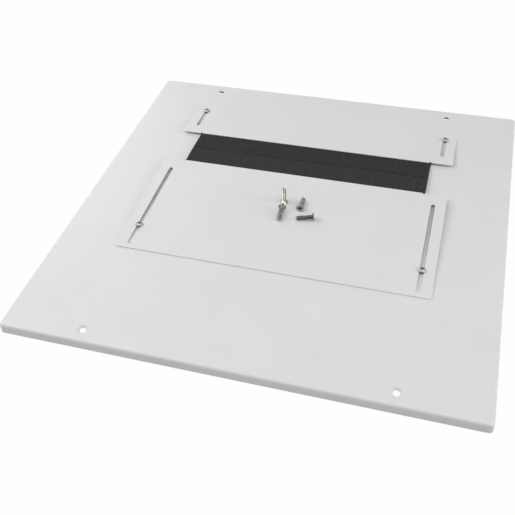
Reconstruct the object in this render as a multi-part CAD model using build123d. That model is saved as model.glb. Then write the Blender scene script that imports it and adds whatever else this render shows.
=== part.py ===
from build123d import *
import os
from math import asin, atan, cos, degrees, radians, sin, sqrt, tan

os.makedirs("parts", exist_ok=True)

# Frame: millimetres, +Z up, -Y is the front, origin at the middle of the rim's lower edges.

# Folded top plate
plate_side = 600.0
plate_height = 14.0
sheet = 1.5
fold_radius = 3.5
corner_radius = 5.0

# Cable aperture in the top plate, with its middle behind the plate's own
aperture_width = 350.0
aperture_depth = 240.0
aperture_corner = 6.0
aperture_y = 60.0

# Fixing holes: pressed cones for M6 countersunk screws
fixing_x = 192.5
fixing_y = 281.0
fixing_hole_radius = 4.3
cone_radius = 6.5
cone_land = 0.3
cone_blend = 9.0

# Slide plates: each rests on its outer edge and, near its inner edge, on its foam strip.
# The front one lies a little to the left in the play of its slots.
slide_width = 428.6
slide_sheet = 1.5
slide_corner = 3.0
slot_x = 196.6
slot_width = 5.8
slot_margin = 7.5
front_edge_y = -131.5
front_depth = 200.0
front_lift = 6.0
front_slot = 171.0
front_slide_x = -0.3
rear_edge_y = 224.2
rear_depth = 77.7
rear_lift = 3.5
rear_slot = 49.8

# Foam strips, meeting in the middle of the gap between the slide plates
foam_length = 366.2
foam_x = -0.9
foam_thickness = 5.0
foam_glued = 20.0
foam_gap = 0.3
foam_joint_round = 0.8

# Small notches in the slide plates' inner edges, one at each end of the foam
notch_width = 3.0
notch_depth = 1.8

# Clamp screws, M5 x 12 pan head, backed off a little from the slide plates. As a tilted plate
# is drawn outwards it grows higher under the heads, and its screws are let up with it.
clamp_from_edge_front = 46.6
clamp_from_edge_rear = 10.7
head_clearance = 0.3
clamp_radius = 2.5
clamp_length = 12.0
clamp_chamfer = 0.7
pan_radius = 5.0
pan_side = 1.2
pan_height = 3.5

# Cross recess in both kinds of screw
recess_reach = 3.3
recess_foot = 1.0
recess_depth = 2.6
recess_wing = 1.5
recess_core = 1.9

# Clinch nuts, M5, pressed in from below
nut_radius = 4.35
nut_height = 2.0
nut_shank_radius = 3.17
nut_shank_length = 1.38
nut_bore_radius = 2.55
nut_chamfer = 0.25
nut_hole_radius = 3.19

# Loose M6 x 25 countersunk fixing screws
thread_radius = 3.0
thread_chamfer = 0.8
csk_length = 25.0
csk_radius = 5.65
csk_edge = 0.4
rest_gap = 0.02
# (across, distance up the front slide plate, heading from head to tip in degrees)
lying_screws = [(-7.9, 121.0, -88.0), (17.0, 122.7, 90.0), (40.5, 110.8, 193.0)]
standing_screw = (-9.3, 137.7)

front_tilt = degrees(asin(front_lift / front_depth))
rear_tilt = degrees(asin(rear_lift / rear_depth))
front_inner_y = front_edge_y + front_depth * cos(radians(front_tilt))
rear_inner_y = rear_edge_y - rear_depth * cos(radians(rear_tilt))
joint_y = (front_inner_y + rear_inner_y) / 2
front_clamp_y = front_edge_y + clamp_from_edge_front
rear_clamp_y = rear_edge_y - clamp_from_edge_rear

# Each slot's far end stops its plate against the screw
front_travel = slot_margin + front_slot - slot_width / 2 - clamp_from_edge_front
rear_travel = slot_margin + rear_slot - slot_width / 2 - clamp_from_edge_rear

# Where a slide plate's flat blank goes: outer edge on the top plate, inner edge raised
front_place = Pos(front_slide_x, front_edge_y, plate_height) * Rot(X=front_tilt)
rear_place = Pos(0, rear_edge_y, plate_height) * Rot(Z=180) * Rot(X=rear_tilt)

bottom_up = (Align.CENTER, Align.CENTER, Align.MIN)


def turned(points):
    """A solid of revolution about Z from points given as (radius, height)."""
    return revolve(Plane.XZ * make_face(Polyline(*points, close=True)), Axis.Z)


def rounded_block(side, height, corner, edge):
    """A square block with rounded upright corners and a rounded upper edge."""
    block = Box(side, side, height, align=bottom_up)
    block = fillet(block.edges().filter_by(Axis.Z), corner)
    return fillet(block.faces().sort_by(Axis.Z)[-1].edges(), edge)


def pressed_cone():
    """Ring of sheet pressed down into a 90 degree cone, with a short cylindrical land."""
    drop = cone_radius - fixing_hole_radius
    wall = sheet * sqrt(2)
    return turned([
        (fixing_hole_radius, -drop - cone_land),
        (fixing_hole_radius, -drop),
        (cone_radius, 0),
        (cone_blend, 0),
        (cone_blend, -sheet),
        (cone_radius + wall - sheet, -sheet),
        (fixing_hole_radius + wall, -drop),
        (fixing_hole_radius + sheet, -drop - cone_land),
    ])


def top_plate():
    """Square sheet with a rim folded down on all sides, corners welded and ground round."""
    outside = rounded_block(plate_side, plate_height, corner_radius, fold_radius)
    inside = rounded_block(
        plate_side - 2 * sheet, plate_height - sheet, corner_radius - sheet, fold_radius - sheet
    )
    plate = outside - inside
    aperture = RectangleRounded(aperture_width, aperture_depth, aperture_corner)
    plate -= Pos(0, aperture_y, 0) * extrude(aperture, plate_height)
    for y in (front_clamp_y, rear_clamp_y):
        for x in (-slot_x, slot_x):
            plate -= Pos(x, y, 0) * Cylinder(nut_hole_radius, plate_height, align=bottom_up)
    for y in (-fixing_y, fixing_y):
        for x in (-fixing_x, fixing_x):
            plate -= Pos(x, y, 0) * Cylinder(cone_blend, plate_height, align=bottom_up)
            plate += Pos(x, y, plate_height) * pressed_cone()
    return plate


def slide_blank(depth, slot_length, notches_x):
    """Flat plate with slots and two notches, outer edge on Y = 0 and underside on Z = 0."""
    outline = Pos(0, depth / 2) * RectangleRounded(slide_width, depth, slide_corner)
    for side in (-1, 1):
        slot_middle = Pos(side * slot_x, slot_margin + slot_length / 2)
        outline -= slot_middle * SlotOverall(slot_length, slot_width, rotation=90)
        notch_middle = Pos(notches_x + side * (foam_length - notch_width) / 2, depth)
        outline -= notch_middle * Rectangle(notch_width, 2 * notch_depth)
    return extrude(outline, slide_sheet)


def foam_strip(inner_y, side, lift, tilt):
    """Foam from under a slide plate to the joint; side is +1 where it points to the rear."""
    back_height = lift - foam_glued * tan(radians(tilt))
    tip_y = joint_y - side * foam_gap / 2
    section = [
        (inner_y - side * foam_glued, 0),
        (inner_y - side * foam_glued, back_height),
        (inner_y, lift),
        (tip_y, foam_thickness),
        (tip_y, 0),
    ]
    outline = make_face(Polyline(*section, close=True))
    lip = outline.vertices().sort_by_distance((tip_y, foam_thickness))[0]
    outline = fillet(lip, foam_joint_round)
    strip = extrude(Plane.YZ * outline, foam_length / 2, both=True)
    return Pos(foam_x, 0, plate_height) * strip


def cross_recess():
    """Cross-shaped recess tool, point down, its mouth on Z = 0."""
    wing = make_face(Polyline(
        (-recess_reach, 0), (recess_reach, 0), (recess_foot, -recess_depth),
        (-recess_foot, -recess_depth), close=True,
    ))
    blade = extrude(Plane.XZ * wing, recess_wing / 2, both=True)
    core = turned([(0, 0), (recess_core, 0), (recess_foot, -recess_depth), (0, -recess_depth)])
    return blade + Rot(Z=90) * blade + core


def clamp_screw():
    """Pan-head screw, point down, the underside of its head on Z = 0."""
    dome_drop = pan_height - pan_side
    dome_radius = (pan_radius**2 + dome_drop**2) / (2 * dome_drop)
    profile = Polyline(
        (0, pan_height), (0, -clamp_length), (clamp_radius - clamp_chamfer, -clamp_length),
        (clamp_radius, -clamp_length + clamp_chamfer), (clamp_radius, 0), (pan_radius, 0),
        (pan_radius, pan_side),
    )
    dome = RadiusArc((pan_radius, pan_side), (0, pan_height), -dome_radius)
    body = revolve(Plane.XZ * make_face(profile + dome), Axis.Z)
    return body - Pos(0, 0, pan_height) * cross_recess()


def clamp_pair(y, from_edge, tilt):
    """Left and right clamp screws, their heads just clear of a slide plate's upper face."""
    uphill = (from_edge + pan_radius) * tan(radians(tilt))
    height = uphill + slide_sheet / cos(radians(tilt)) + head_clearance
    return [Pos(x, y, plate_height + height) * clamp_screw() for x in (-slot_x, slot_x)]


def clinch_nut():
    """Round nut with a thin shank that is pressed into the sheet above it."""
    return turned([
        (nut_bore_radius, nut_shank_length),
        (nut_shank_radius, nut_shank_length),
        (nut_shank_radius, 0),
        (nut_radius, 0),
        (nut_radius, -nut_height + nut_chamfer),
        (nut_radius - nut_chamfer, -nut_height),
        (nut_bore_radius, -nut_height),
    ])


def clinch_nuts():
    """Four nuts under the top plate, on the clamp screws' axes."""
    return [
        Pos(x, y, plate_height - sheet) * clinch_nut()
        for y in (front_clamp_y, rear_clamp_y)
        for x in (-slot_x, slot_x)
    ]


def mounting_screw():
    """Countersunk screw, point up, the flat of its head on Z = 0."""
    cone_end = csk_edge + csk_radius - thread_radius
    body = turned([
        (0, 0), (csk_radius, 0), (csk_radius, csk_edge), (thread_radius, cone_end),
        (thread_radius, csk_length - thread_chamfer),
        (thread_radius - thread_chamfer, csk_length), (0, csk_length),
    ])
    return body - Rot(X=180) * cross_recess()


def mounting_screws():
    """One screw on its head and three on their sides, all on the front slide plate."""
    screw = mounting_screw()
    shank_end = csk_length - thread_chamfer
    lean = degrees(atan((csk_radius - thread_radius) / (shank_end - csk_edge)))
    raised = csk_radius * cos(radians(lean)) + csk_edge * sin(radians(lean)) + rest_gap
    across, up = standing_screw
    on_top = front_place * Pos(0, 0, slide_sheet)
    placed = [on_top * Pos(across, up, rest_gap) * screw]
    for across, up, heading in lying_screws:
        laid = Rot(Z=heading) * Rot(Y=90 + lean)
        placed.append(on_top * Pos(across, up, raised) * laid * screw)
    return placed


export_step(top_plate(), "parts/top_plate.step")
front_slide = front_place * slide_blank(front_depth, front_slot, foam_x - front_slide_x)
# The rear blank is turned half round, which puts its notches on the other side
rear_slide = rear_place * slide_blank(rear_depth, rear_slot, -foam_x)
front_clamps = clamp_pair(front_clamp_y, clamp_from_edge_front, front_tilt)
rear_clamps = clamp_pair(rear_clamp_y, clamp_from_edge_rear, rear_tilt)
export_step(front_slide, "parts/front_slide_plate.step")
export_step(rear_slide, "parts/rear_slide_plate.step")
export_step(foam_strip(front_inner_y, 1, front_lift, front_tilt), "parts/front_foam_strip.step")
export_step(foam_strip(rear_inner_y, -1, rear_lift, rear_tilt), "parts/rear_foam_strip.step")
export_step(Compound(front_clamps), "parts/clamp_screws.step")
export_step(Compound(rear_clamps), "parts/rear_clamp_screws.step")
export_step(Compound(clinch_nuts()), "parts/clinch_nuts.step")
export_step(Compound(mounting_screws()), "parts/mounting_screws.step")
print("travel", round(front_travel, 2), round(rear_travel, 2))
print("rise per travel", round(tan(radians(front_tilt)), 5), round(tan(radians(rear_tilt)), 5))
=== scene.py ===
import math

import bmesh
import bpy
from mathutils import Matrix, Quaternion, Vector


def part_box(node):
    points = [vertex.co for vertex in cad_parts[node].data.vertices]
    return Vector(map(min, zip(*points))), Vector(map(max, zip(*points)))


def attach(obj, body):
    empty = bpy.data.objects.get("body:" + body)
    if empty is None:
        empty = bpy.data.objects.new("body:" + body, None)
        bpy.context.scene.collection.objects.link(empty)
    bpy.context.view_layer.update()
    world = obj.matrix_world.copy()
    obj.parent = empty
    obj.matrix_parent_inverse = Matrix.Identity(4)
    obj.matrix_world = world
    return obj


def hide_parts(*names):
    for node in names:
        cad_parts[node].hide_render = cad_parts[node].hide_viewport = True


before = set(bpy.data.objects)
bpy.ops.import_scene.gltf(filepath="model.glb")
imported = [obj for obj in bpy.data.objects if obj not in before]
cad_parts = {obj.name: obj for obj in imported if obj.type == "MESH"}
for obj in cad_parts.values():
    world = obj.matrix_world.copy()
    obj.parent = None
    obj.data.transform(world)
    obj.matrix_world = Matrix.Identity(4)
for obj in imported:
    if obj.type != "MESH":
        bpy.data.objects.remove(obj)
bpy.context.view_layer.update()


# Top plate: one square of 1.5 mm steel sheet, its rim folded down on all four sides and its
# corners welded. It is powder coated light grey after all the cutting and pressing, so that the
# satin skin runs over every edge, hole and fold.
def linear(hex_colour):
    """An sRGB hex colour as linear red, green and blue, with an alpha of 1."""
    channels = [int(hex_colour[i:i + 2], 16) / 255 for i in (1, 3, 5)]
    return [c / 12.92 if c <= 0.04045 else ((c + 0.055) / 1.055) ** 2.4 for c in channels] + [1.0]


def add(tree, kind, inputs=None, **settings):
    """A new node with its settings; an input is a value, a socket, or a node's first output."""
    node = tree.nodes.new(kind)
    for name, value in settings.items():
        setattr(node, name, value)
    for name, value in (inputs or {}).items():
        if isinstance(value, bpy.types.Node):
            value = value.outputs[0]
        if isinstance(value, bpy.types.NodeSocket):
            tree.links.new(value, node.inputs[name])
        else:
            node.inputs[name].default_value = value
    return node


def per_metre(millimetres):
    """The texture scale that gives features of that size."""
    return 1000 / millimetres


def new_finish(name):
    """A material, its empty node tree and its object coordinates."""
    material = bpy.data.materials.new(name)
    material.use_nodes = True
    material.node_tree.nodes.clear()
    place = add(material.node_tree, "ShaderNodeTexCoord").outputs["Object"]
    return material, material.node_tree, place


def powder_coat(name, deep, light):
    """Baked polyester powder: a satin skin with faint orange peel and a slightly uneven film."""
    peel_size, cloud_size, grain_size = 2.4, 70, 1.3
    cloud_share = 0.6
    satin, dull = 0.36, 0.46
    material, tree, place = new_finish(name)
    # Real orange peel is nearer 1 mm across; it is drawn coarser so that it shows at all.
    peel, cloud, grain = (
        add(tree, "ShaderNodeTexNoise", {
            "Vector": place, "Scale": per_metre(size), "Detail": detail,
        }) for size, detail in ((peel_size, 3.0), (cloud_size, 2.0), (grain_size, 1.0))
    )
    film = add(tree, "ShaderNodeMix", {"Factor": cloud_share, "A": cloud, "B": grain})
    colour = add(tree, "ShaderNodeValToRGB", {"Fac": film})
    for stop, (position, shade) in zip(colour.color_ramp.elements, ((0.35, deep), (0.65, light))):
        stop.position = position
        stop.color = linear(shade)
    gloss = add(tree, "ShaderNodeMapRange", {
        "Value": peel, "From Min": 0.3, "From Max": 0.7, "To Min": satin, "To Max": dull,
    })
    bump = add(tree, "ShaderNodeBump", {"Height": peel, "Strength": 0.12, "Distance": 0.00015})
    shader = add(tree, "ShaderNodeBsdfPrincipled", {
        "Base Color": colour, "Roughness": gloss, "Normal": bump,
    })
    add(tree, "ShaderNodeOutputMaterial", {"Surface": shader})
    return material


def dress(piece, material):
    """Gives the whole piece that one material."""
    piece.data.materials.clear()
    piece.data.materials.append(material)


light_grey_powder = powder_coat("light_grey_powder_coat", "#D8D8D8", "#DDDDDD")
top_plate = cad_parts["top_plate"]
sheet_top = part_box("top_plate")[1].z
sheet = 0.0015
dress(top_plate, light_grey_powder)


# Clinch nuts: four round M5 nuts of zinc-plated steel, turned from bar and pressed up into the
# sheet from below, one on the axis of each clamp screw.
turning_steps = 48
merge_distance = 1e-6


def closed(work, mesh):
    """Puts the worked faces into the mesh, all of them facing outwards."""
    bmesh.ops.recalc_face_normals(work, faces=work.faces)
    work.to_mesh(mesh)
    work.free()
    return mesh


def turned(name, profile):
    """A closed mesh turned about Z from (radius, height) points, its ends on the axis or joined."""
    work = bmesh.new()
    ring = [work.verts.new((radius, 0, height)) for radius, height in profile]
    for a, b in zip(ring, ring[1:] + ring[:1]):
        if a.co.x > 0 or b.co.x > 0:
            work.edges.new((a, b))
    bmesh.ops.spin(
        work, geom=work.verts[:] + work.edges[:], axis=(0, 0, 1), cent=(0, 0, 0),
        angle=math.tau, steps=turning_steps, use_merge=True,
    )
    bmesh.ops.remove_doubles(work, verts=work.verts, dist=merge_distance)
    bmesh.ops.dissolve_degenerate(work, edges=work.edges, dist=merge_distance / 10)
    return closed(work, bpy.data.meshes.new(name))


def node_tree(name, **sizes):
    """An empty tree with the named inputs, and the output sockets of its input node."""
    tree = bpy.data.node_groups.new(name, "GeometryNodeTree")
    tree.interface.new_socket("Geometry", in_out="INPUT", socket_type="NodeSocketGeometry")
    for size, kind in sizes.items():
        tree.interface.new_socket(size, in_out="INPUT", socket_type="NodeSocket" + kind)
    tree.interface.new_socket("Geometry", in_out="OUTPUT", socket_type="NodeSocketGeometry")
    return tree, tree.nodes.new("NodeGroupInput").outputs


def with_tree(piece, tree, **values):
    """Adds the tree to the piece as a modifier and sets its named inputs."""
    modifier = piece.modifiers.new(tree.name, "NODES")
    modifier.node_group = tree
    for item in tree.interface.items_tree:
        if item.name in values:
            modifier[item.identifier] = values[item.name]


def new_piece(name, data):
    """An object at the origin, in the scene, with that mesh, curve, lamp or camera."""
    piece = bpy.data.objects.new(name, data)
    bpy.context.scene.collection.objects.link(piece)
    return piece


def plain_mesh(piece):
    """The mesh that the piece's modifiers or its curve come to."""
    graph = bpy.context.evaluated_depsgraph_get()
    return bpy.data.meshes.new_from_object(piece.evaluated_get(graph), depsgraph=graph)


def baked(piece):
    """The piece with its modifiers turned into plain mesh."""
    mesh = plain_mesh(piece)
    piece.modifiers.clear()
    piece.data = mesh
    return piece


def end_tree(tree, mesh, finish):
    """Realizes what the tree made, sets its material and sends it out."""
    real = add(tree, "GeometryNodeRealizeInstances", {"Geometry": mesh})
    dressed = add(tree, "GeometryNodeSetMaterial", {"Geometry": real, "Material": finish})
    add(tree, "NodeGroupOutput", {"Geometry": dressed})


def set_out_tree():
    """One finished part copied to every vertex, each copy turned by the vertex's own rotation."""
    tree, given = node_tree("set_out", Part="Object", Finish="Material")
    part = add(tree, "GeometryNodeObjectInfo", {"Object": given["Part"], "As Instance": True})
    turn = add(tree, "GeometryNodeInputNamedAttribute", {"Name": "turn"}, data_type="QUATERNION")
    copies = add(tree, "GeometryNodeInstanceOnPoints", {
        "Points": given["Geometry"], "Instance": part.outputs["Geometry"],
        "Rotation": turn.outputs["Attribute"],
    })
    end_tree(tree, copies, given["Finish"])
    return tree


set_out = set_out_tree()


def copies_of(part, name, places, finish):
    """One piece made of copies of the part, one at each placing matrix, and no part left over."""
    marks = bpy.data.meshes.new(name + "_places")
    marks.from_pydata([place.translation for place in places], [], [])
    turns = marks.attributes.new("turn", "QUATERNION", "POINT")
    for mark, place in zip(turns.data, places):
        mark.value = place.to_quaternion()
    piece = new_piece(name, marks)
    with_tree(piece, set_out, Part=part, Finish=finish)
    baked(piece)
    bpy.data.objects.remove(part)
    return piece


def separate_boxes(node, ways=(0, 1)):
    """The boxes of a node's bodies, which lie on both sides of its middle in those ways."""
    low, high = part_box(node)
    middle = (low + high) / 2
    found = {}
    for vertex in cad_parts[node].data.vertices:
        sides = tuple(vertex.co[way] > middle[way] for way in ways)
        found.setdefault(sides, []).append(vertex.co)
    return [
        (Vector([min(co[i] for co in group) for i in range(3)]),
         Vector([max(co[i] for co in group) for i in range(3)]))
        for _, group in sorted(found.items())
    ]


def plated_steel(name, cool, warm, root, gloss):
    """Bright plate under a thin film that drifts in tint; painted shade darkens threads, recesses
    and streaks on countersunk cones.
    """
    drift_size, grain_size = 4.0, 0.6
    material, tree, place = new_finish(name)
    drift, grain = (
        add(tree, "ShaderNodeTexNoise", {"Vector": place, "Scale": per_metre(size), "Detail": 2.0})
        for size in (drift_size, grain_size)
    )
    tint = add(tree, "ShaderNodeValToRGB", {"Fac": drift})
    for stop, (position, shade) in zip(tint.color_ramp.elements, ((0.38, cool), (0.66, warm))):
        stop.position = position
        stop.color = linear(shade)
    # Painted shade: where the mesh holds it, the colour goes over to the dark root colour.
    bloom = add(tree, "ShaderNodeAttribute", attribute_name="bloom").outputs["Fac"]
    # A Mix node's colours are its inputs 6 and 7, and its mixed colour is its output 2.
    colour = add(tree, "ShaderNodeMix", {
        "Factor": bloom, 6: tint, 7: linear(root),
    }, data_type="RGBA")
    dull = add(tree, "ShaderNodeMapRange", {
        "Value": grain, "To Min": gloss - 0.06, "To Max": gloss + 0.1,
    })
    bump = add(tree, "ShaderNodeBump", {"Height": grain, "Strength": 0.1, "Distance": 0.00005})
    shader = add(tree, "ShaderNodeBsdfPrincipled", {
        "Base Color": colour.outputs[2], "Metallic": 1.0, "Roughness": dull, "Normal": bump,
    })
    add(tree, "ShaderNodeOutputMaterial", {"Surface": shader})
    return material


nut_radius = 0.00435
nut_height = 0.002
nut_bore = 0.00255
nut_chamfer = 0.0003
nut_shank_radius = 0.00317
nut_shank_height = 0.00138
nut_profile = [
    (nut_bore, nut_shank_height), (nut_shank_radius, nut_shank_height), (nut_shank_radius, 0),
    (nut_radius, 0), (nut_radius, nut_chamfer - nut_height),
    (nut_radius - nut_chamfer, -nut_height), (nut_bore + nut_chamfer, -nut_height),
    (nut_bore, nut_chamfer - nut_height),
]
# Clear zinc plate: a bright grey, a little milky, that shows soft highlights.
bright_zinc = plated_steel("bright_zinc_plate", "#B4B9B9", "#C4C3BC", "#5C605F", 0.34)
nut_places = [
    Matrix.Translation(((low.x + high.x) / 2, (low.y + high.y) / 2, sheet_top - sheet))
    for low, high in separate_boxes("clinch_nuts")
]
one_nut = new_piece("one_clinch_nut", turned("clinch_nut", nut_profile))
nuts = copies_of(one_nut, "clinch_nuts_turned", nut_places, bright_zinc)
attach(nuts, "base")
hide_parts("clinch_nuts")


# Slide plates: two flat steel plates, laser cut with a slot at each end and a small notch at
# each end of the foam, then powder coated like the top plate. Each lies on its outer edge and
# is held up along its inner edge by its foam strip.
plate_width = 0.4286
plate_corner = 0.003
edge_round = 0.00025
slot_x = 0.1966
slot_width = 0.0058
slot_margin = 0.0075
notch_width = 0.003
notch_depth = 0.0018
foam_length = 0.3662
foam_x = -0.0009
front_x = -0.0003
front_plate = {
    "x": front_x, "edge_y": -0.1315, "depth": 0.200, "lift": 0.006, "slot": 0.171,
    "heading": 0.0, "notches_x": foam_x - front_x,
}
rear_plate = {
    "x": 0.0, "edge_y": 0.2242, "depth": 0.0777, "lift": 0.0035, "slot": 0.0498,
    "heading": math.pi, "notches_x": -foam_x,
}


def arc(middle, radius, start, end, steps=8):
    """Points along an arc, its angles in degrees."""
    angles = [math.radians(start + (end - start) * i / steps) for i in range(steps + 1)]
    return [(middle[0] + radius * math.cos(a), middle[1] + radius * math.sin(a)) for a in angles]


def plate_outline(depth, notches_x):
    """The plate's edge, anticlockwise from its outer left corner, with the two notches."""
    inset = plate_width / 2 - plate_corner
    outer = arc((-inset, plate_corner), plate_corner, 180, 270)
    outer += arc((inset, plate_corner), plate_corner, 270, 360)
    far = depth - plate_corner
    inner = arc((inset, far), plate_corner, 0, 90)
    for side in (1, -1):
        reach = (foam_length / 2, foam_length / 2 - notch_width)
        ends = sorted((notches_x + side * reach[0], notches_x + side * reach[1]), reverse=True)
        inner += [(ends[0], depth), (ends[0], depth - notch_depth)]
        inner += [(ends[1], depth - notch_depth), (ends[1], depth)]
    return outer + inner + arc((-inset, far), plate_corner, 90, 180)


def slot_outline(x, length):
    """A slot's edge, clockwise because it is a hole."""
    radius = slot_width / 2
    near = slot_margin + radius
    far = slot_margin + length - radius
    edge = arc((x, near), radius, 180, 360) + arc((x, far), radius, 0, 180)
    return edge[::-1]


def tilt_of(plate):
    """How far the plate leans up towards its inner edge, in radians."""
    return math.asin(plate["lift"] / plate["depth"])


def place_of(plate):
    """Takes a plate drawn flat, its outer edge on Y = 0, to where it lies on the top plate."""
    turn = Matrix.Rotation(plate["heading"], 4, "Z")
    edge = Matrix.Translation((plate["x"], plate["edge_y"], sheet_top))
    return edge @ turn @ Matrix.Rotation(tilt_of(plate), 4, "X")


def slide_plate(name, plate):
    """The cut plate with its edges softened by the powder, in its place."""
    curve = bpy.data.curves.new(name, "CURVE")
    curve.dimensions = "2D"
    curve.fill_mode = "BOTH"
    curve.extrude = sheet / 2 - edge_round
    curve.bevel_depth = edge_round
    curve.bevel_resolution = 2
    curve.offset = -edge_round
    outlines = [plate_outline(plate["depth"], plate["notches_x"])]
    outlines += [slot_outline(x, plate["slot"]) for x in (-slot_x, slot_x)]
    for outline in outlines:
        spline = curve.splines.new("POLY")
        spline.points.add(len(outline) - 1)
        for point, (x, y) in zip(spline.points, outline):
            point.co = (x, y, 0, 1)
        spline.use_cyclic_u = True
    drawing = new_piece(name, curve)
    mesh = plain_mesh(drawing)
    bpy.data.objects.remove(drawing)
    mesh.transform(place_of(plate) @ Matrix.Translation((0, 0, sheet / 2)))
    work = bmesh.new()
    work.from_mesh(mesh)
    bmesh.ops.remove_doubles(work, verts=work.verts, dist=merge_distance)
    return new_piece(name, closed(work, mesh))


for name, plate, body, node in (
    ("front_plate_painted", front_plate, "front_slide", "front_slide_plate"),
    ("rear_plate_painted", rear_plate, "rear_slide", "rear_slide_plate"),
):
    piece = slide_plate(name, plate)
    dress(piece, light_grey_powder)
    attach(piece, body)
    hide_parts(node)


# Foam strips: two lengths of charcoal cellular rubber, sliced from block so that their cut cells
# show, and glued under the inner edges of the slide plates. They meet over the aperture and
# press together there, which rounds their lips.
foam_pitch = 0.00075
foam_thickness = 0.005
foam_lip = 0.0007
foam_end = 0.0022
foam_crown = 0.00025
foam_rest = 0.00005
lip_steps = 8
glued_steps = 4
under_steps = 5
end_steps = 5


def foam_section(low, high, side, plate):
    """The strip's outline in (y, z), from the joint's foot over the top and back underneath."""
    tip = high.y if side > 0 else low.y
    back = low.y if side > 0 else high.y
    tilt = tilt_of(plate)
    edge = plate["edge_y"] + side * plate["depth"] * math.cos(tilt)
    floor = low.z
    top = floor + foam_thickness
    lift = floor + plate["lift"]
    slope = (top - lift) / abs(tip - edge)
    points = [(tip, floor + foam_rest), (tip, floor + (foam_thickness - foam_lip) / 2)]
    for step in range(lip_steps + 1):
        angle = math.radians(90 * step / lip_steps)
        inwards, down = foam_lip * (1 - math.cos(angle)), foam_lip * (1 - math.sin(angle))
        points.append((tip - side * inwards, top - down))
    start = tip - side * foam_lip
    count = round(abs(start - edge) / foam_pitch)
    for step in range(1, count + 1):
        y = start + (edge - start) * step / count
        crown = foam_crown * math.sin(math.pi * (step / count))
        points.append((y, min(top, lift + slope * abs(y - edge)) + crown))
    for step in range(1, glued_steps + 1):
        y = edge + (back - edge) * (step / glued_steps)
        points.append((y, lift - abs(y - edge) * math.tan(tilt)))
    for step in range(under_steps, 0, -1):
        points.append((tip + (back - tip) * (step / under_steps), floor + foam_rest))
    return points


def foam_block(name, section, low, high):
    """The section drawn out along X, its ends rounded over, closed by a face at each end."""
    half = (high.x - low.x) / 2
    middle = (high.x + low.x) / 2
    floor = low.z + foam_rest
    level_length = 2 * (half - foam_end)
    count = round(level_length / foam_pitch)
    angles = [math.radians(90 * step / end_steps) for step in range(end_steps)]
    rounded = [
        (-half + foam_end * (1 - math.cos(a)), foam_end * (1 - math.sin(a))) for a in angles
    ]
    level = [(-half + foam_end + level_length * i / count, 0.0) for i in range(count + 1)]
    work = bmesh.new()
    rings = []
    for x, drop in rounded + level + [(-x, drop) for x, drop in rounded[::-1]]:
        rings.append([work.verts.new((middle + x, y, max(floor, z - drop))) for y, z in section])
    for a, b in zip(rings, rings[1:]):
        for i in range(len(section)):
            j = (i + 1) % len(section)
            work.faces.new((a[i], a[j], b[j], b[i]))
    work.faces.new(rings[0])
    work.faces.new(rings[-1][::-1])
    return closed(work, bpy.data.meshes.new(name))


def cut_cells_tree():
    """Sinks cut cells into a foam surface along its normals and records how deep each point is."""
    wave_size = 7
    cell_floor, cell_rim = 0.15, 0.55
    tree, given = node_tree(
        "cut_cells", Cell="Float", Depth="Float", Wave="Float", Floor="Float", Finish="Material",
    )
    scale = add(tree, "ShaderNodeMath", {0: 1.0, 1: given["Cell"]}, operation="DIVIDE")
    cells = add(tree, "ShaderNodeTexVoronoi", {"Scale": scale, "Randomness": 1.0})
    pit = add(tree, "ShaderNodeMapRange", {
        "Value": cells, "From Min": cell_floor, "From Max": cell_rim, "To Min": 1.0, "To Max": 0.0,
    })
    waves = add(tree, "ShaderNodeTexNoise", {"Scale": per_metre(wave_size), "Detail": 2.0})
    swell = add(tree, "ShaderNodeMath", {0: waves, 1: 0.5}, operation="SUBTRACT")
    raised = add(tree, "ShaderNodeMath", {0: swell, 1: given["Wave"]}, operation="MULTIPLY")
    sunk = add(tree, "ShaderNodeMath", {0: pit, 1: given["Depth"]}, operation="MULTIPLY")
    move = add(tree, "ShaderNodeMath", {0: raised, 1: sunk}, operation="SUBTRACT")
    offset = add(tree, "ShaderNodeVectorMath", {
        0: add(tree, "GeometryNodeInputNormal"), "Scale": move,
    }, operation="SCALE")
    spot = add(tree, "ShaderNodeSeparateXYZ", {"Vector": add(tree, "GeometryNodeInputPosition")})
    above = add(tree, "ShaderNodeMath", {
        0: spot.outputs["Z"], 1: given["Floor"],
    }, operation="GREATER_THAN")
    kept = add(tree, "GeometryNodeStoreNamedAttribute", {
        "Geometry": given["Geometry"], "Name": "pit", "Value": pit,
    }, data_type="FLOAT", domain="POINT")
    cut = add(tree, "GeometryNodeSetPosition", {
        "Geometry": kept, "Selection": above, "Offset": offset,
    })
    end_tree(tree, add(tree, "GeometryNodeSetShadeSmooth", {"Geometry": cut}), given["Finish"])
    return tree


def cellular_rubber(name, wall, painted_cell_shade):
    """Cut cellular rubber: dead matt, with painted shade making its cells darker than the walls
    that ring them, unevenly at random.
    """
    dust_size, patch_size = 1.6, 4.5
    patch_share = 0.4
    material, tree, place = new_finish(name)
    pit = add(tree, "ShaderNodeAttribute", attribute_name="pit").outputs["Fac"]
    dust, patch = (
        add(tree, "ShaderNodeTexNoise", {"Vector": place, "Scale": per_metre(size), "Detail": 2.0})
        for size in (dust_size, patch_size)
    )
    both = add(tree, "ShaderNodeMix", {"Factor": patch_share, "A": dust, "B": patch})
    uneven = add(tree, "ShaderNodeMapRange", {
        "Value": both, "From Min": 0.3, "From Max": 0.7, "To Min": -0.5, "To Max": 0.5,
    })
    # Painted shade in the cells: darker the deeper a point sits in its pit, with random unevenness
    # added.
    depth = add(tree, "ShaderNodeMath", {0: pit, 1: uneven}, operation="ADD", use_clamp=True)
    colour = add(tree, "ShaderNodeMix", {
        "Factor": depth, 6: linear(wall), 7: linear(painted_cell_shade),
    }, data_type="RGBA")
    bump = add(tree, "ShaderNodeBump", {"Height": dust, "Strength": 0.6, "Distance": 0.0003})
    shader = add(tree, "ShaderNodeBsdfPrincipled", {
        "Base Color": colour.outputs[2], "Roughness": 0.95, "Specular IOR Level": 0.2,
        "Normal": bump,
    })
    add(tree, "ShaderNodeOutputMaterial", {"Surface": shader})
    return material


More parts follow.
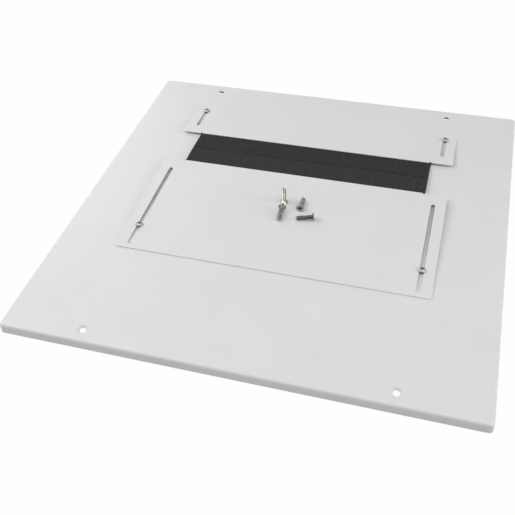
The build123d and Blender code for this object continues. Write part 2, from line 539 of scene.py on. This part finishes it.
# Real cells are nearer 1 mm across; they are drawn coarser so that they show at all.
cell_size = 0.0021
cell_depth = 0.00035
wave_height = 0.0003
uncut_foot = 0.0005
cut_cells = cut_cells_tree()
front_rubber = cellular_rubber("charcoal_cellular_rubber", "#343736", "#1E2120")
# The rear strip is drawn a shade darker than the front one.
rear_rubber = cellular_rubber("charcoal_cellular_rubber_darker", "#303332", "#1A1D1C")
for name, plate, side, body, node, rubber in (
    ("front_foam_cut", front_plate, 1, "front_slide", "front_foam_strip", front_rubber),
    ("rear_foam_cut", rear_plate, -1, "rear_slide", "rear_foam_strip", rear_rubber),
):
    low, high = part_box(node)
    piece = new_piece(name, foam_block(name, foam_section(low, high, side, plate), low, high))
    with_tree(
        piece, cut_cells, Cell=cell_size, Depth=cell_depth, Wave=wave_height,
        Floor=low.z + uncut_foot, Finish=rubber,
    )
    baked(piece)
    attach(piece, body)
    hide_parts(node)


# Clamp screws: four M5 x 12 pan-head screws of zinc-plated, blue-passivated steel, forged with a
# cross recess and thread-rolled. They stand in the slots and turn into the clinch nuts, backed
# off a little so that the slide plates can still be pushed.
clamp_thread = {"Radius": 0.0025, "Pitch": 0.0008, "Depth": 0.00049}
recess_reach = 0.0033
recess_foot = 0.001
recess_depth = 0.0026
recess_wing = 0.0015
recess_core = 0.0019
recess_slope = (recess_reach - recess_foot) / recess_depth
cone_streaks = 7
thread_around = 24
thread_rows = 8
point_chamfer = 1.5


def cross_recess(name):
    """The punch that makes a cross recess, point down, its top a little over Z = 0."""
    over = 0.0003
    core_around = 24
    core_slope = (recess_core - recess_foot) / recess_depth
    work = bmesh.new()
    for turn in (0, 90):
        across = (
            (recess_reach + over * recess_slope, over), (recess_foot, -recess_depth),
            (-recess_foot, -recess_depth), (-recess_reach - over * recess_slope, over),
        )
        sides = [
            [work.verts.new((x, y, z)) for x, z in across]
            for y in (-recess_wing / 2, recess_wing / 2)
        ]
        work.faces.new(sides[0])
        work.faces.new(sides[1][::-1])
        for i in range(4):
            j = (i + 1) % 4
            work.faces.new((sides[0][i], sides[1][i], sides[1][j], sides[0][j]))
        bmesh.ops.rotate(
            work, verts=work.verts[-8:], cent=(0, 0, 0),
            matrix=Matrix.Rotation(math.radians(turn), 3, "Z"),
        )
    bmesh.ops.create_cone(
        work, cap_ends=True, segments=core_around, radius1=recess_foot,
        radius2=recess_core + over * core_slope, depth=recess_depth + over,
        matrix=Matrix.Translation((0, 0, (over - recess_depth) / 2)),
    )
    return closed(work, bpy.data.meshes.new(name))


def rolled_thread_tree():
    """A threaded shank under Z = 0, with a chamfered point, joined to the head it is given."""
    crest_end, root_start = 0.12, 0.85
    crest_painted_shade, root_painted_shade = 0.31, 0.66
    margin = 0.0001
    level_face, floor_share = 0.8, 0.8
    cone_facing, cone_margin = -math.sqrt(0.5), 0.03
    painted_between_streaks, painted_in_streaks = 0.1, 0.7
    crisp_angle = math.radians(28)
    tree, given = node_tree(
        "rolled_thread", Radius="Float", Pitch="Float", Depth="Float", Top="Float", Tip="Float",
        Chamfer="Float", Face="Float", Around="Int", Rows="Int", Finish="Material",
    )
    spot = add(tree, "ShaderNodeSeparateXYZ", {"Vector": add(tree, "GeometryNodeInputPosition")})
    facing = add(tree, "ShaderNodeSeparateXYZ", {"Vector": add(tree, "GeometryNodeInputNormal")})
    known = {socket.name: socket for socket in given}
    known.update({"x": spot.outputs["X"], "y": spot.outputs["Y"], "z": spot.outputs["Z"]})
    known["facing"] = facing.outputs["Z"]
    # Each row is one sum at every point: the name of its result, what it does, and its terms.
    for result, operation, *terms in (
        ("length", "SUBTRACT", "Top", "Tip"),
        ("both ends", "ADD", "Top", "Tip"),
        ("middle", "MULTIPLY", "both ends", 0.5),
        # The helix: how far a point is from crest (0) to root (1), and the wall's radius there.
        ("bearing", "ARCTAN2", "y", "x"),
        ("turn", "DIVIDE", "bearing", math.tau),
        ("pitches", "DIVIDE", "z", "Pitch"),
        ("unwound", "SUBTRACT", "pitches", "turn"),
        ("phase", "FRACT", "unwound"),
        ("doubled", "MULTIPLY", "phase", 2.0),
        ("centred", "SUBTRACT", "doubled", 1.0),
        ("flank", "ABSOLUTE", "centred"),
        ("past crest", "SUBTRACT", "flank", crest_end),
        ("steepened", "DIVIDE", "past crest", root_start - crest_end),
        ("from crest", "MAXIMUM", "steepened", 0.0),
        ("rootward", "MINIMUM", "from crest", 1.0),
        ("thread cut", "MULTIPLY", "rootward", "Depth"),
        ("from tip", "SUBTRACT", "z", "Tip"),
        ("chamfer left", "SUBTRACT", "Chamfer", "from tip"),
        ("chamfer cut", "MAXIMUM", "chamfer left", 0.0),
        ("deepest cut", "MAXIMUM", "thread cut", "chamfer cut"),
        ("wall", "SUBTRACT", "Radius", "deepest cut"),
        ("share", "DIVIDE", "wall", "Radius"),
        ("wall x", "MULTIPLY", "x", "share"),
        ("wall y", "MULTIPLY", "y", "share"),
        # Painted shade in the thread, where shade falls: all along it but for its ends, and more in
        # its root.
        ("from middle", "SUBTRACT", "z", "middle"),
        ("off middle", "ABSOLUTE", "from middle"),
        ("half length", "MULTIPLY", "length", 0.5),
        ("half thread", "SUBTRACT", "half length", "Depth"),
        ("on thread", "LESS_THAN", "off middle", "half thread"),
        ("helix painted shade", "MULTIPLY_ADD", "rootward", root_painted_shade - crest_painted_shade, crest_painted_shade),
        ("thread painted shade", "MULTIPLY", "on thread", "helix painted shade"),
        # Painted shade in the recess, where shade falls: on its steep walls and its floor, but not
        # on the head's face.
        ("x squared", "MULTIPLY", "x", "x"),
        ("y squared", "MULTIPLY", "y", "y"),
        ("out squared", "ADD", "x squared", "y squared"),
        ("out", "SQRT", "out squared"),
        ("below face", "SUBTRACT", "Face", "z"),
        ("drawn in", "MULTIPLY", "below face", recess_slope),
        ("reach there", "SUBTRACT", recess_reach + margin, "drawn in"),
        ("within reach", "LESS_THAN", "out", "reach there"),
        ("within depth", "LESS_THAN", "below face", recess_depth + margin),
        ("in recess", "MULTIPLY", "within reach", "within depth"),
        ("level", "ABSOLUTE", "facing"),
        ("steep", "LESS_THAN", "level", level_face),
        ("at floor", "GREATER_THAN", "below face", recess_depth * floor_share),
        ("wall or floor", "MAXIMUM", "steep", "at floor"),
        ("recess painted shade", "MULTIPLY", "in recess", "wall or floor"),
        # Painted dark streaks down a countersunk head's 45 degree cone, which stand in for dark
        # surroundings reflected in it.
        ("off cone", "SUBTRACT", "facing", cone_facing),
        ("lean error", "ABSOLUTE", "off cone"),
        ("on cone", "LESS_THAN", "lean error", cone_margin),
        ("streaks", "MULTIPLY", "turn", cone_streaks),
        ("streak", "FRACT", "streaks"),
        ("film", "MULTIPLY_ADD", "streak", painted_in_streaks - painted_between_streaks, painted_between_streaks),
        ("cone painted streaks", "MULTIPLY", "on cone", "film"),
        ("head painted shade", "MAXIMUM", "recess painted shade", "cone painted streaks"),
        ("bloom", "MAXIMUM", "thread painted shade", "head painted shade"),
    ):
        known[result] = add(tree, "ShaderNodeMath", {
            i: known[term] if isinstance(term, str) else term for i, term in enumerate(terms)
        }, operation=operation).outputs[0]
    rod = add(tree, "GeometryNodeMeshCylinder", {
        "Vertices": given["Around"], "Side Segments": given["Rows"], "Radius": given["Radius"],
        "Depth": known["length"],
    })
    lowered = add(tree, "GeometryNodeTransform", {
        "Geometry": rod, "Translation": add(tree, "ShaderNodeCombineXYZ", {"Z": known["middle"]}),
    })
    shaped = add(tree, "GeometryNodeSetPosition", {
        "Geometry": lowered,
        "Position": add(tree, "ShaderNodeCombineXYZ", {
            "X": known["wall x"], "Y": known["wall y"], "Z": known["z"],
        }),
    })
    whole = add(tree, "GeometryNodeMeshBoolean", operation="UNION", solver="EXACT")
    for mesh in (given["Geometry"], shaped.outputs["Geometry"]):
        tree.links.new(mesh, whole.inputs["Mesh 2"])
    smooth = add(tree, "GeometryNodeSetShadeSmooth", {"Geometry": whole})
    sharp = add(tree, "ShaderNodeMath", {
        0: add(tree, "GeometryNodeInputMeshEdgeAngle"), 1: crisp_angle,
    }, operation="GREATER_THAN")
    crisp = add(tree, "GeometryNodeSetShadeSmooth", {
        "Geometry": smooth, "Selection": sharp, "Shade Smooth": False,
    }, domain="EDGE")
    # Stores the painted shade of thread, recess and cone for the plated steel material.
    shade_stored = add(tree, "GeometryNodeStoreNamedAttribute", {
        "Geometry": crisp, "Name": "bloom", "Value": known["bloom"],
    }, data_type="FLOAT", domain="FACE")
    end_tree(tree, shade_stored, given["Finish"])
    return tree


rolled_thread = rolled_thread_tree()


def screw(name, thread, head_profile, face, neck, tip, finish):
    """A whole screw, point down: head turned, recess punched in its face, thread rolled."""
    part = new_piece(name, turned(name, head_profile))
    punch = new_piece(name + "_punch", cross_recess(name + "_punch"))
    punch.data.transform(Matrix.Translation((0, 0, face)))
    punched = part.modifiers.new("recess", "BOOLEAN")
    punched.operation = "DIFFERENCE"
    punched.solver = "EXACT"
    punched.use_self = True
    punched.object = punch
    with_tree(
        part, rolled_thread, **thread, Top=neck, Tip=tip, Face=face, Finish=finish,
        Chamfer=thread["Depth"] * point_chamfer, Around=thread_around,
        Rows=round((neck - tip) / thread["Pitch"] * thread_rows),
    )
    baked(part)
    bpy.data.objects.remove(punch)
    return part


pan_radius = 0.005
pan_side = 0.0012
pan_height = 0.0035
pan_round_in = 0.0003
pan_round_down = 0.0002
pan_chamfer = 0.0003
pan_stub = 0.0006
pan_length = 0.012
pan_neck = -0.0001
crown_steps = 9


def pan_profile():
    """Section of the pan head and its core, from the crown down to the core's end."""
    drop = pan_height - pan_side
    ball = (pan_radius ** 2 + drop ** 2) / (2 * drop)
    core = clamp_thread["Radius"] - clamp_thread["Depth"]
    crown = []
    for step in range(crown_steps + 1):
        radius = (pan_radius - pan_round_in) * step / crown_steps
        crown.append((radius, pan_height - ball + math.sqrt(ball ** 2 - radius ** 2)))
    return crown + [
        (pan_radius, pan_side - pan_round_down), (pan_radius, pan_chamfer),
        (pan_radius - pan_chamfer, 0), (core, 0), (core, -pan_stub), (0, -pan_stub),
    ]


# Blue-passivated zinc: a cool, slightly dull grey that spreads the lamps' light over the head.
# Its dark third colour is the painted shade in the cross recesses.
blue_zinc = plated_steel("blue_passivated_zinc", "#8C9695", "#A0A6A4", "#66726F", 0.5)
clamp_turns = (35, 85)
for name, body, node in (
    ("front_clamps_threaded", "front_clamps", "clamp_screws"),
    ("rear_clamps_threaded", "rear_clamps", "rear_clamp_screws"),
):
    clamp_places = []
    for turn, (low, high) in zip(clamp_turns, separate_boxes(node, (0,))):
        middle = ((low.x + high.x) / 2, (low.y + high.y) / 2, low.z + pan_length)
        spin = Matrix.Rotation(math.radians(turn), 4, "Z")
        clamp_places.append(Matrix.Translation(middle) @ spin)
    one_clamp = screw(
        name + "_one", clamp_thread, pan_profile(), pan_height, pan_neck, -pan_length, blue_zinc,
    )
    clamps = copies_of(one_clamp, name, clamp_places, blue_zinc)
    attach(clamps, body)
    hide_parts(node)


# Mounting screws: four loose M6 x 25 countersunk screws of nickel-bright steel, which fix the
# plate to its enclosure. They lie on the front slide plate as they were dropped, one on its head.
mounting_thread = {"Radius": 0.003, "Pitch": 0.001, "Depth": 0.00061}
csk_length = 0.025
csk_radius = 0.00565
csk_edge = 0.0004
csk_chamfer = 0.0001
csk_neck_fall = 0.0002
csk_stub = 0.0007
csk_overlap = 0.0001
csk_point = 0.0008
rest_gap = 0.00002
standing_screw = (-0.0093, 0.1377)
lying_screws = [(-0.0079, 0.1210, -88.0), (0.0170, 0.1227, 90.0), (0.0405, 0.1108, 193.0)]

csk_shank = mounting_thread["Radius"]
csk_core = csk_shank - mounting_thread["Depth"]
csk_neck = -csk_edge - csk_radius + csk_shank
csk_profile = [
    (0, 0), (csk_radius - csk_chamfer, 0), (csk_radius, -csk_chamfer), (csk_radius, -csk_edge),
    (csk_shank, csk_neck), (csk_core, csk_neck - csk_neck_fall), (csk_core, csk_neck - csk_stub),
    (0, csk_neck - csk_stub),
]
# Bright nickel over steel: a warm, near-mirror grey that catches the lamps in sharp glints.
# Its dark third colour is the painted shade in the thread, the recesses and the cone streaks.
nickel_steel = plated_steel("nickel_bright_steel", "#A5A39D", "#BBB8AF", "#262523", 0.06)
lean = math.atan((csk_radius - csk_shank) / (csk_length - csk_point - csk_edge))
raised = csk_radius * math.cos(lean) + csk_edge * math.sin(lean) + rest_gap
on_plate = place_of(front_plate) @ Matrix.Translation((0, 0, sheet))
flip = Matrix.Rotation(math.pi, 4, "X")
screw_places = [on_plate @ Matrix.Translation((*standing_screw, rest_gap)) @ flip]
for across, up, heading in lying_screws:
    laid = Matrix.Rotation(math.radians(heading), 4, "Z")
    laid = laid @ Matrix.Rotation(math.pi / 2 + lean, 4, "Y")
    screw_places.append(on_plate @ Matrix.Translation((across, up, raised)) @ laid @ flip)
one_screw = screw(
    "one_mounting_screw", mounting_thread, csk_profile, 0, csk_neck + csk_overlap, -csk_length,
    nickel_steel,
)
loose = copies_of(one_screw, "mounting_screws_threaded", screw_places, nickel_steel)
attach(loose, "front_slide")
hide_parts("mounting_screws")


# Studio: a wide white floor under a plain white surround, two soft lamps high in front, one on
# the left, and two weaker low ones on the right and behind.
floor_half = 4.0
backdrop_share = 0.97
sky_strength = 0.3
lamp_size = 0.7


def background_rays(tree):
    """1 for rays from the camera, a reflection or a clear piece, which see the background."""
    rays = add(tree, "ShaderNodeLightPath").outputs
    seen = add(tree, "ShaderNodeMath", {
        0: rays["Is Camera Ray"], 1: rays["Is Glossy Ray"],
    }, operation="MAXIMUM")
    return add(tree, "ShaderNodeMath", {
        0: seen, 1: rays["Is Transmission Ray"],
    }, operation="MAXIMUM")


def white_floor():
    """Matt pale floor that background rays see nearly as bright as the surround."""
    material, tree, _ = new_finish("white_floor")
    share = add(tree, "ShaderNodeMath", {
        0: background_rays(tree), 1: backdrop_share,
    }, operation="MULTIPLY")
    matt = add(tree, "ShaderNodeBsdfDiffuse", {"Color": linear("#DCDCDC")})
    glow = add(tree, "ShaderNodeEmission", {"Color": linear("#FFFFFF"), "Strength": 1.0})
    both = add(tree, "ShaderNodeMixShader", {0: share, 1: matt, 2: glow})
    add(tree, "ShaderNodeOutputMaterial", {"Surface": both})
    return material


floor_mesh = bpy.data.meshes.new("floor")
floor_mesh.from_pydata(
    [(-floor_half, -floor_half, 0), (floor_half, -floor_half, 0), (floor_half, floor_half, 0),
     (-floor_half, floor_half, 0)], [], [(0, 1, 2, 3)],
)
floor = new_piece("floor", floor_mesh)
dress(floor, white_floor())

surround = bpy.data.worlds.new("white_surround")
bpy.context.scene.world = surround
surround.use_nodes = True
sky_tree = surround.node_tree
sky_tree.nodes.clear()
sky_level = add(sky_tree, "ShaderNodeMapRange", {
    "Value": background_rays(sky_tree), "To Min": sky_strength, "To Max": 1.0,
})
sky = add(sky_tree, "ShaderNodeBackground", {"Color": linear("#FFFFFF"), "Strength": sky_level})
add(sky_tree, "ShaderNodeOutputWorld", {"Surface": sky})

for name, place, watts in (
    ("high_front_right_softbox", (0.64, -0.64, 1.56), 7.5),
    ("high_front_left_softbox", (-0.64, -0.64, 1.56), 5.6),
    ("left_softbox", (-1.38, 0.0, 1.16), 9.2),
    ("low_right_softbox", (1.69, 0.0, 0.62), 9.9),
    ("low_rear_left_softbox", (-1.20, 1.20, 0.62), 5.0),
):
    lamp = bpy.data.lights.new(name, "AREA")
    lamp.size = lamp_size
    lamp.energy = watts
    holder = new_piece(name, lamp)
    holder.location = place
    holder.rotation_mode = "QUATERNION"
    holder.rotation_quaternion = (-Vector(place)).to_track_quat("-Z", "Y")


# Camera: in front of the plate's right half, looking down at its middle and rolled a little, as
# fitted to the plate's edges and holes in the photograph.
camera_place = Vector((0.21024, -0.81381, 0.71968))
camera_aim = Vector((-0.0342, -0.0786, 0.014))
camera_roll = -3.4
eye = bpy.data.cameras.new("camera")
eye.lens = 53.56
eye.sensor_width = 36
eye.shift_x, eye.shift_y = 0.0116, -0.0320
camera = new_piece("camera", eye)
camera.location = camera_place
camera.rotation_mode = "QUATERNION"
straight = (camera_aim - camera_place).to_track_quat("-Z", "Y")
camera.rotation_quaternion = straight @ Quaternion((0, 0, 1), math.radians(camera_roll))
bpy.context.scene.camera = camera
bpy.context.scene.view_settings.view_transform = "Standard"
